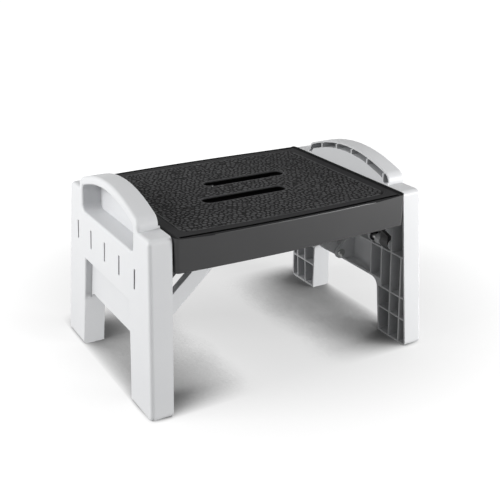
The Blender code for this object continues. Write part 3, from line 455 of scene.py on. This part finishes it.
def makeMat(s):
    across = 2 * round(s["halfLength"] / s["spacing"])
    along = 2 * round(s["halfWidth"] / s["spacing"])
    mesh = bmesh.new()
    bmesh.ops.create_grid(mesh, x_segments=across, y_segments=along, size=1.0)
    level = mesh.verts.layers.float.new("pebble")
    r = s["corner"]
    run = (s["slotLength"] - s["slotWidth"]) / 2
    slotHalf = s["slotWidth"] / 2

    # how far the long sides bow out at a place along the mat
    def bowAt(x):
        return s["bow"] * (1 - (x / s["halfLength"]) ** 2)

    # how far a point is outside the nearer grip slot, and the way out
    def slotGap(x, y):
        sign = 1 if y > 0 else -1
        a = x - sign * s["slotStagger"] / 2
        b = y - sign * s["slotSpacing"] / 2
        way = Vector((a - max(-run, min(run, a)), b))
        return way.length - slotHalf, way.normalized()

    # pebble centres: a close-packed pattern, shifted about
    dice = random.Random(s["seed"])
    reach = range(-s["reach"], s["reach"] + 1)

    def shift():
        return dice.uniform(-1, 1) * s["scatter"]

    centres = {(i, j): Vector((i + j % 2 / 2 + shift(), j * s["row"] + shift()))
               for j in reach for i in reach}

    # how high the mat stands at a place, from 0 in the gaps to 1 on the pebbles and along the edges
    def riseAt(x, y):
        spot = Vector((x, y)) / s["pebble"]
        j = round(spot.y / s["row"])
        i = round(spot.x - 0.25)  # the rows start at 0 and at a half by turns
        away = sorted((centres[a, b] - spot).length for a in range(i - 2, i + 3) for b in range(j - 1, j + 2))
        rise = max(0.0, min(1.0, (away[1] - away[0] - s["gap"]) / s["slope"]))
        rise = rise * rise * (3 - 2 * rise)
        edge = min(s["halfLength"] - abs(x), s["halfWidth"] + bowAt(x) - abs(y), slotGap(x, y)[0])
        fade = max(0.0, min(1.0, (edge - s["plain"]) / s["border"]))
        return 1 - (1 - rise) * fade

    for vert in mesh.verts:
        x, y = vert.co.x * s["halfLength"], vert.co.y * s["halfWidth"]
        a, b = abs(x) - (s["halfLength"] - r), abs(y) - (s["halfWidth"] - r)
        if a > 0 and b > 0:  # a square corner turns into a round one
            a, b = a / r, b / r
            x = math.copysign(s["halfLength"] - r + r * a * math.sqrt(1 - b * b / 2), x)
            y = math.copysign(s["halfWidth"] - r + r * b * math.sqrt(1 - a * a / 2), y)
        y += bowAt(x) * y / s["halfWidth"]
        gap, way = slotGap(x, y)
        if abs(gap) < s["pull"] * s["spacing"]:
            x, y = x - way.x * gap, y - way.y * gap
        rise = riseAt(x, y)
        vert[level] = rise
        vert.co = Vector((x, y, s["top"] - s["relief"] * (1 - rise))) * mm

    def insideSlot(face):
        return all(slotGap(v.co.x / mm, v.co.y / mm)[0] < s["touch"] for v in face.verts)

    bmesh.ops.delete(mesh, geom=[f for f in mesh.faces if insideSlot(f)], context="FACES")
    skirt = bmesh.ops.extrude_edge_only(mesh, edges=[e for e in mesh.edges if e.is_boundary])
    for part in skirt["geom"]:
        if isinstance(part, bmesh.types.BMVert):
            part.co.z = s["low"] * mm
    bmesh.ops.triangle_fill(mesh, use_beauty=False, edges=[e for e in mesh.edges if e.is_boundary])
    bmesh.ops.recalc_face_normals(mesh, faces=mesh.faces)
    print("mat,", len(mesh.faces), "faces")
    addPiece(mesh, "pebbledMat", matRubber, "non_slip_mat", "tread")


makeMat(matSet)

# pins: turned with a domed head, a groove for the clip and a chamfered tail
# clips: thin dished washers, slit inside so that their teeth grip the pin
pinSet = {"steps": 36, "dome": 0.5, "edge": 0.4, "groove": 0.35, "room": 0.1, "chamfer": 0.7,
          "step": 1.0}  # the head stands out from the shaft by more than this, mm
clipSet = {"steps": 36, "sheet": 0.5, "bite": 0.15, "slit": 1.3, "every": 3, "touch": 0.05}


# turns a profile of (radius, height) pairs, in mm, about an axis along y
def turnProfile(profile, closed, start, way, steps):
    mesh = bmesh.new()
    verts = [mesh.verts.new((start.x + r * mm, start.y + way * t * mm, start.z)) for r, t in profile]
    pairs = zip(verts, verts[1:] + verts[:1] if closed else verts[1:])
    edges = [mesh.edges.new(pair) for pair in pairs]
    bmesh.ops.spin(mesh, geom=verts + edges, cent=start, axis=(0, 1, 0), dvec=(0, 0, 0), angle=2 * math.pi,
                   steps=steps, use_merge=True, use_duplicate=False)
    bmesh.ops.remove_doubles(mesh, verts=mesh.verts, dist=cleanSet["seam"] * mm)
    bmesh.ops.recalc_face_normals(mesh, faces=mesh.faces)
    return mesh


def makePin(pin, clip, s, k):
    low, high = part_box(pin)
    clipLow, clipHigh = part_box(clip)
    middle = (low + high) / 2
    corners = [v.co for v in nodes[pin].data.vertices]
    spots = [(math.hypot(c.x - middle.x, c.z - middle.z) / mm, c.y) for c in corners]
    head = max(r for r, y in spots)
    shaft = max(r for r, y in spots if r < head - s["step"])
    heights = [y for r, y in spots if r > head - near]
    way = 1 if min(heights) - low.y < high.y - max(heights) else -1  # from the head to the tail
    start = Vector((middle.x, low.y if way > 0 else high.y, middle.z))
    thick = (max(heights) - min(heights)) / mm
    end = (high.y - low.y) / mm
    first, last = sorted(way * (y - start.y) / mm for y in (clipLow.y, clipHigh.y))  # the clip's place
    a, b, floor = first - s["room"], last + s["room"], shaft - s["groove"]
    profile = [(0, 0), (head / 2, s["dome"] / 5), (head - s["edge"], s["dome"]),
               (head, s["dome"] + s["edge"]), (head, thick - s["edge"] / 2),
               (head - s["edge"] / 2, thick), (shaft, thick),
               (shaft, a), (floor, a), (floor, b), (shaft, b),
               (shaft, end - s["chamfer"]), (shaft - s["chamfer"], end), (0, end)]
    mesh = turnProfile(profile, False, start, way, s["steps"])
    body = nodes[pin]["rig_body"]
    addPiece(mesh, pin + ".turned", steels["zincPlatedDrawnSteel"], pin, body)

    rim = (clipHigh.x - clipLow.x) / 2 / mm
    inner = shaft - k["bite"]
    waist = (rim + inner) / 2
    profile = [(rim, first), (rim, first + k["sheet"]), (waist, first + k["sheet"]), (inner, last),
               (inner, last - k["sheet"]), (waist, first)]
    mesh = turnProfile(profile, True, start, way, k["steps"])
    for vert in mesh.verts:
        out = Vector((vert.co.x - start.x, 0, vert.co.z - start.z))
        step = round(math.atan2(out.z, out.x) / (2 * math.pi) * k["steps"])
        if out.length < (inner + k["touch"]) * mm and step % k["every"] == 0:
            vert.co += out.normalized() * k["slit"] * mm
    addPiece(mesh, clip + ".pressed", steels["blackenedSpringSteel"], clip, body)


pins = sorted(name for name in nodes if name.endswith("_pin"))
for pin in pins:
    makePin(pin, pin.replace("_pin", "_clip"), pinSet, clipSet)
print(len(pins), "pins and clips turned")

# camera as the photograph has it, worked out from the step's edges
cameraSet = {"yaw": 30.706, "pitch": 22.413, "roll": 0.683, "focal": 849.3, "frame": 500, "sensor": 36.0,
             "place": (-0.55683, -0.95509, 0.58943)}  # degrees, pixels, mm of sensor, metres


def makeCamera(s):
    data = bpy.data.cameras.new("photoCamera")
    data.sensor_width = s["sensor"]
    data.lens = s["focal"] / s["frame"] * s["sensor"]
    camera = bpy.data.objects.new("photoCamera", data)
    yaw, pitch, roll = (math.radians(s[k]) for k in ("yaw", "pitch", "roll"))
    tilt = Matrix.Rotation(math.pi / 2 - pitch, 4, "X") @ Matrix.Rotation(roll, 4, "Z")
    camera.matrix_world = Matrix.Translation(s["place"]) @ Matrix.Rotation(-yaw, 4, "Z") @ tilt
    scene.collection.objects.link(camera)
    scene.camera = camera


makeCamera(cameraSet)
print("camera set")

# white floor that keeps the shadow, with painted shade near the step and painted contact shadow by the legs,
# and white all round it; lengths in metres
stageSet = {"size": 12.0, "colour": "#909090", "rough": 0.9, "glow": 0.61, "fade": (0.10, 0.64),
            "centre": (0.07, 0.09, 0.0), "contact": 0.14, "samples": 12, "depth": 7.0,
            "ends": (0.185, 0.215), "front": (-0.15, -0.105), "rear": (0.15, 0.19)}


def makeStage(s):
    mesh = bmesh.new()
    bmesh.ops.create_grid(mesh, x_segments=1, y_segments=1, size=s["size"] / 2)
    data = bpy.data.meshes.new("floor")
    mesh.to_mesh(data)
    mesh.free()
    floor = bpy.data.objects.new("floor", data)
    scene.collection.objects.link(floor)
    values = {"Roughness": s["rough"], "Specular IOR Level": 0.0, "Emission Color": (1, 1, 1, 1),
              "Base Color": hexColour(s["colour"])}
    material, tree, shader, coords = newMaterial("mattPaperFloor", values)
    # white away from the step, the glow lower near it as painted shade
    away = addNode(tree, "ShaderNodeVectorMath", {"operation": "DISTANCE"}, {1: s["centre"]}, {0: coords})
    glow = ramp(tree, away.outputs["Value"], s["fade"], (s["glow"], 1), "SMOOTHSTEP")
    spot = addNode(tree, "ShaderNodeSeparateXYZ", links={"Vector": coords}).outputs
    under = ramp(tree, calculate(tree, "ABSOLUTE", spot["X"]), s["ends"], (1, 0))
    under = calculate(tree, "MULTIPLY", under, ramp(tree, spot["Y"], s["front"], (0, 1)))
    under = calculate(tree, "MULTIPLY", under, ramp(tree, spot["Y"], s["rear"], (1, 0)))
    # painted contact shadow: dark close to the legs, under the step only
    contact = addNode(tree, "ShaderNodeAmbientOcclusion", {"samples": s["samples"]},
                      {"Distance": s["contact"]}).outputs["AO"]
    shade = calculate(tree, "POWER", contact, calculate(tree, "MULTIPLY", under, s["depth"]))
    level = calculate(tree, "MULTIPLY", calculate(tree, "MULTIPLY", glow, shade), seenDirectly(tree))
    tree.links.new(level, shader.inputs["Emission Strength"])
    data.materials.append(material)


makeStage(stageSet)

skySet = {"light": 0.24, "seen": 1.0}


def makeSky(s):
    world = bpy.data.worlds.new("studio")
    scene.world = world
    world.use_nodes = True
    tree = world.node_tree
    background = tree.nodes["Background"]
    background.inputs["Color"].default_value = (1, 1, 1, 1)
    level = ramp(tree, seenDirectly(tree), (0, 1), (s["light"], s["seen"]))
    tree.links.new(level, background.inputs["Strength"])


makeSky(skySet)

lampSet = {
    "leftLamp": {"place": (-1.6, 0.2, 0.8), "wide": 0.9, "high": 0.9, "power": 20.5},
    "rightLamp": {"place": (1.2, -1.25, 0.4), "wide": 0.7, "high": 0.5, "power": 24.0},
}
lampAim = Vector((0, 0, 0.1))


def makeLamp(name, s):
    lamp = bpy.data.lights.new(name, "AREA")
    lamp.shape = "RECTANGLE"
    lamp.size = s["wide"]
    lamp.size_y = s["high"]
    lamp.energy = s["power"]
    thing = bpy.data.objects.new(name, lamp)
    thing.location = s["place"]
    thing.rotation_mode = "QUATERNION"
    thing.rotation_quaternion = (lampAim - Vector(s["place"])).to_track_quat("-Z", "Y")
    scene.collection.objects.link(thing)


for name, s in lampSet.items():
    makeLamp(name, s)
print("light and floor set")
